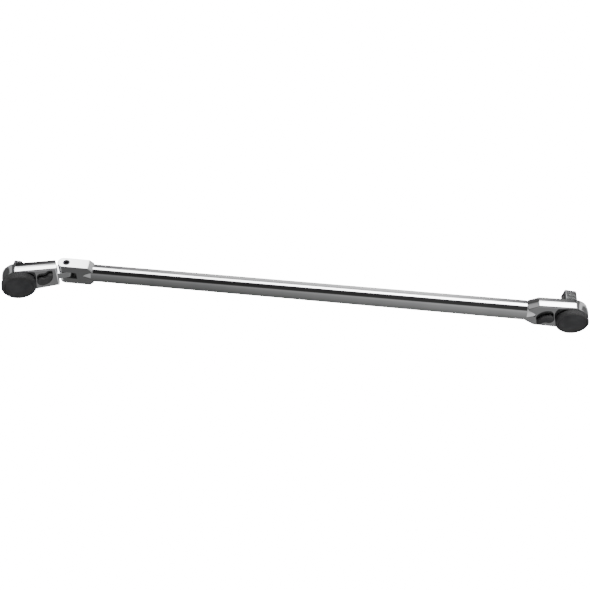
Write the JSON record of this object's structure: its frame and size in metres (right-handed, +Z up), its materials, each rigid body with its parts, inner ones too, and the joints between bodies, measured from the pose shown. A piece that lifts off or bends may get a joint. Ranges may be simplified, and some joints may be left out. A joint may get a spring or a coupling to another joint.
{
  "type": "ratchet wrench",
  "caption": "Long double-ended ratchet wrench: a hinged flex head with a small square drive at one end, a larger fixed ratchet head at the other, each with a thumb disc and a direction lever.",
  "frame": {"origin": "middle of the base of the bounding box, with the tool standing on its thin edge", "axes": "+X along the bar from the flex head to the fixed head; +Z up along the flex hinge pin; the drive squares point to +Y and the thumb discs face -Y"},
  "size_m": [0.4474, 0.044, 0.026],
  "materials": {
    "polished_chrome": "mirror polish",
    "black_polymer": "fine satin grain",
    "drive_steel": "polished, worn at the corners",
    "machined_steel": "ground",
    "black_oxide": "black oxide",
    "seal_rubber": "matte"
  },
  "bodies": {
    "handle": {"handle_bar": "polished_chrome", "hinge_screw": "black_oxide", "hinge_spring": "machined_steel", "fixed_cover_plate": "machined_steel", "fixed_retaining_ring": "black_oxide", "fixed_pawl_pin": "machined_steel"},
    "hinge_plunger": {"hinge_plunger": "machined_steel"},
    "flex_head": {"flex_head_body": "polished_chrome", "flex_cover_plate": "machined_steel", "flex_retaining_ring": "black_oxide", "flex_pawl_pin": "machined_steel"},
    "flex_drive": {"flex_drive_gear": "drive_steel", "flex_drive_seal": "seal_rubber", "flex_square_ball_spring": "machined_steel", "flex_thumb_disc": "black_polymer", "flex_disc_screw": "black_oxide", "flex_disc_cap": "black_polymer"},
    "flex_square_ball": {"flex_square_ball": "machined_steel"},
    "flex_pawl": {"flex_pawl": "machined_steel"},
    "flex_selector": {"flex_selector_lever": "black_polymer", "flex_pawl_plunger": "machined_steel", "flex_plunger_spring": "machined_steel"},
    "fixed_drive": {"fixed_drive_gear": "drive_steel", "fixed_drive_seal": "seal_rubber", "fixed_square_ball_spring": "machined_steel", "fixed_thumb_disc": "black_polymer", "fixed_disc_screw": "black_oxide", "fixed_disc_cap": "black_polymer"},
    "fixed_square_ball": {"fixed_square_ball": "machined_steel"},
    "fixed_pawl": {"fixed_pawl": "machined_steel"},
    "fixed_selector": {"fixed_selector_lever": "black_polymer", "fixed_pawl_plunger": "machined_steel", "fixed_plunger_spring": "machined_steel"}
  },
  "joints": [
    {"name": "flex_hinge", "type": "hinge", "parent": "handle", "child": "flex_head", "pos_m": [-0.17528, 0.00234, 0.01299], "axis": [0, 0, 1], "range_deg": [-106.4, 73.6]},
    {"name": "hinge_plunger_press", "type": "slide", "parent": "handle", "child": "hinge_plunger", "axis": [1, 0, 0], "range_m": [0, 0.0005], "stiffness_N_per_m": 12, "deforming": ["hinge_spring"]},
    {"name": "flex_drive_spin", "type": "hinge", "parent": "flex_head", "child": "flex_drive", "pos_m": [-0.21073, -0.00862, 0.01299], "axis": [-0.2823, 0.9593, 0], "continuous": true},
    {"name": "flex_selector_swing", "type": "hinge", "parent": "flex_head", "child": "flex_selector", "pos_m": [-0.19394, -0.00368, 0.01299], "axis": [-0.2823, 0.9593, 0], "range_deg": [0, 90]},
    {"name": "flex_pawl_rock", "type": "hinge", "parent": "flex_head", "child": "flex_pawl", "pos_m": [-0.19979, -0.0054, 0.01299], "axis": [-0.2823, 0.9593, 0], "range_deg": [-10, 0]},
    {"name": "flex_square_ball_press", "type": "slide", "parent": "flex_drive", "child": "flex_square_ball", "axis": [-0.8895, -0.2618, 0.3746], "range_m": [0, 0.0005], "stiffness_N_per_m": 12, "deforming": ["flex_square_ball_spring"]},
    {"name": "fixed_drive_spin", "type": "hinge", "parent": "handle", "child": "fixed_drive", "pos_m": [0.21072, 0.00224, 0.01299], "axis": [0, 1, 0], "continuous": true},
    {"name": "fixed_selector_swing", "type": "hinge", "parent": "handle", "child": "fixed_selector", "pos_m": [0.19322, 0.00224, 0.01299], "axis": [0, 1, 0], "range_deg": [0, 90]},
    {"name": "fixed_pawl_rock", "type": "hinge", "parent": "handle", "child": "fixed_pawl", "pos_m": [0.19932, 0.00224, 0.01299], "axis": [0, 1, 0], "range_deg": [-10, 0]},
    {"name": "fixed_square_ball_press", "type": "slide", "parent": "fixed_drive", "child": "fixed_square_ball", "axis": [0.9945, 0, -0.1045], "range_m": [0, 0.0005], "stiffness_N_per_m": 12, "deforming": ["fixed_square_ball_spring"]}
  ],
  "couplings": [
    {"joint": "flex_pawl_rock", "follows": "flex_selector_swing", "ratio": -0.11111},
    {"joint": "fixed_pawl_rock", "follows": "fixed_selector_swing", "ratio": -0.11111}
  ]
}
